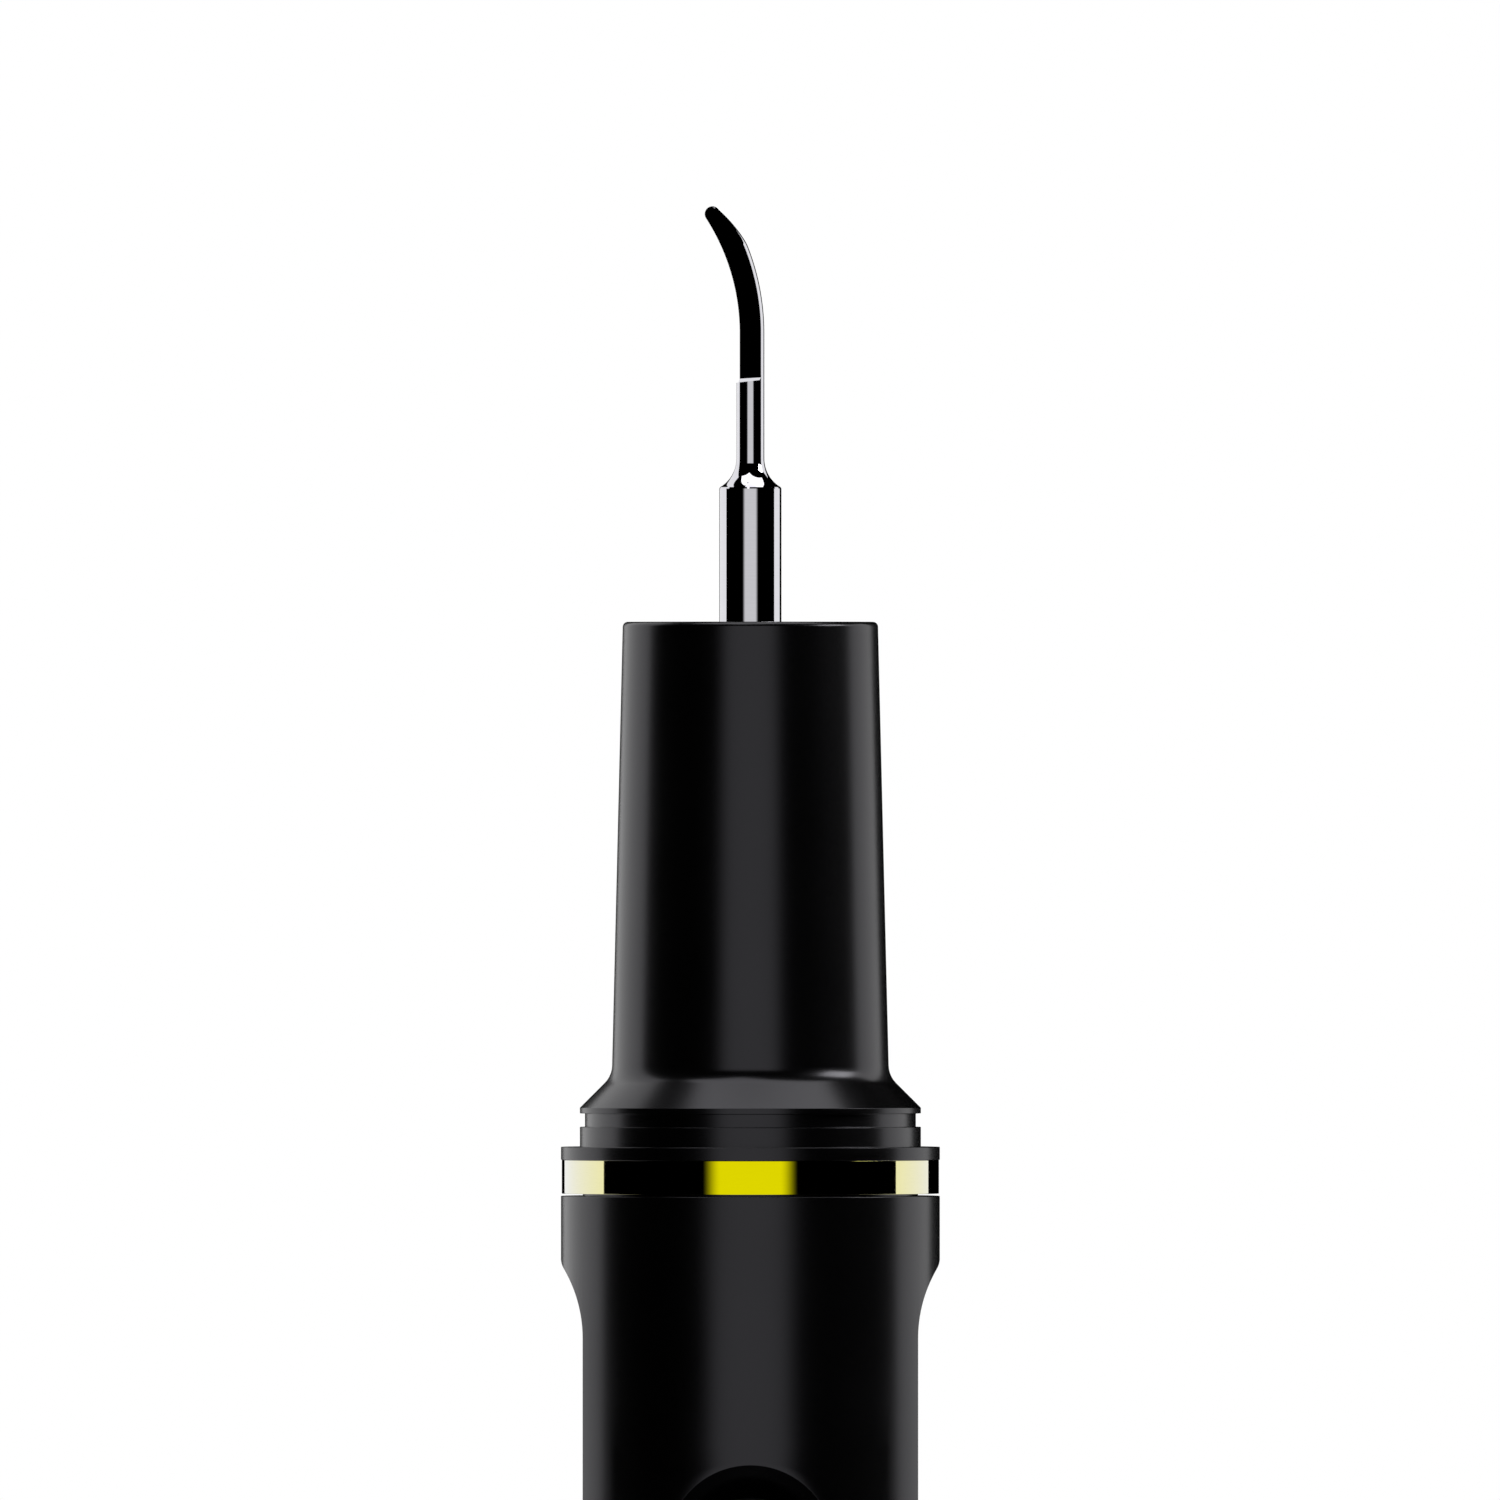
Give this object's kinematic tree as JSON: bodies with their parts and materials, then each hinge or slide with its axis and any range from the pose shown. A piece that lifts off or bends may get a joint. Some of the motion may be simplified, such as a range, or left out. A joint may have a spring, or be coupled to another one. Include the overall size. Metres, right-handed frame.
{
  "type": "ultrasonic dental scaler handpiece",
  "caption": "Slim black cordless handpiece with a polished yellow ring, a thumb button and a curved screw-on steel tip for cleaning teeth.",
  "frame": {"origin": "centre of the silicone foot ring's lower face, on the handpiece's axis", "axes": "+Z along the handpiece from the base to the tip, -Y towards the thumb button (front), +X to the right seen from the front"},
  "size_m": [0.0256, 0.0256, 0.1848],
  "materials": {
    "black_plastic": "satin moulded",
    "soft_black": "soft-touch matte",
    "silicone": "matte",
    "yellow_metal": "polished, yellow anodised",
    "polished_steel": "mirror polished",
    "steel": "plain",
    "dark_steel": "black oxide",
    "titanium": "turned titanium",
    "frame_plastic": "moulded",
    "board": "solder mask",
    "component_black": "moulded",
    "copper": "bare copper",
    "capacitor_sleeve": "shrink sleeve",
    "lamp": "clear epoxy",
    "lens": "translucent",
    "cell_wrap": "shrink sleeve",
    "red_wire": "insulation",
    "black_wire": "insulation",
    "piezo_ceramic": "fired ceramic",
    "white_plastic": "moulded"
  },
  "bodies": {
    "handpiece": {"foot_ring": "silicone", "tail_cap": "black_plastic", "tail_seal_ring": "silicone", "tail_screws": "steel", "body_shell": "black_plastic", "inner_frame": "frame_plastic", "frame_screws": "steel", "main_board": "board", "controller_chip": "component_black", "driver_chip": "component_black", "charger_chip": "component_black", "boost_inductor": "component_black", "transformer_core": "component_black", "transformer_winding": "copper", "bulk_capacitor": "capacitor_sleeve", "status_leds": "lamp", "indicator_lenses": "lens", "button_gasket": "silicone", "switch_base": "steel", "battery_cell": "cell_wrap", "battery_tab_lower": "steel", "battery_tab_upper": "steel", "battery_lead_positive": "red_wire", "battery_lead_negative": "black_wire", "battery_pad": "silicone", "port_board": "board", "usb_shell": "steel", "usb_tongue": "component_black", "port_gasket": "silicone", "nose_cone": "black_plastic", "accent_ring": "yellow_metal", "nose_seal_ring": "silicone", "transducer_horn": "titanium", "horn_seal_front": "silicone", "horn_seal_rear": "silicone", "transducer_retainer": "frame_plastic", "piezo_ring_1": "piezo_ceramic", "piezo_ring_2": "piezo_ceramic", "piezo_ring_3": "piezo_ceramic", "piezo_ring_4": "piezo_ceramic", "electrode_1": "copper", "electrode_2": "copper", "electrode_3": "copper", "electrode_4": "copper", "stack_sleeve": "white_plastic", "rear_mass": "steel", "stack_bolt": "dark_steel", "stack_lead_positive": "red_wire", "stack_lead_negative": "black_wire"},
    "button": {"button_cap": "soft_black"},
    "switch_plunger": {"switch_plunger": "component_black"},
    "port_cover": {"port_plug": "soft_black"},
    "tip_seal": {"tip_seal_ring": "silicone"},
    "tip": {"scaler_tip": "polished_steel"}
  },
  "joints": [
    {"name": "button_press", "type": "slide", "parent": "handpiece", "child": "button", "axis": [0, 1, 0], "range_m": [0, 0.00025], "stiffness_N_per_m": 400, "springref_m": -0.002},
    {"name": "switch_plunger_press", "type": "slide", "parent": "handpiece", "child": "switch_plunger", "axis": [0, 1, 0], "range_m": [0, 0.00025]},
    {"name": "port_cover_hinge", "type": "hinge", "parent": "handpiece", "child": "port_cover", "pos_m": [0, 0.01278, 0.0087], "axis": [-1, 0, 0], "range_deg": [0, 110]},
    {"name": "tip_lift", "type": "slide", "parent": "handpiece", "child": "tip_seal", "axis": [0, 0, 1], "range_m": [0, 0.0025]},
    {"name": "tip_unscrew", "type": "hinge", "parent": "tip_seal", "child": "tip", "pos_m": [0, 0, 0.1531], "axis": [0, 0, 1], "range_deg": [0, 1800]}
  ],
  "couplings": [
    {"joint": "switch_plunger_press", "follows": "button_press", "ratio": 1},
    {"joint": "tip_unscrew", "follows": "tip_lift", "rad_per_m": 12566}
  ]
}
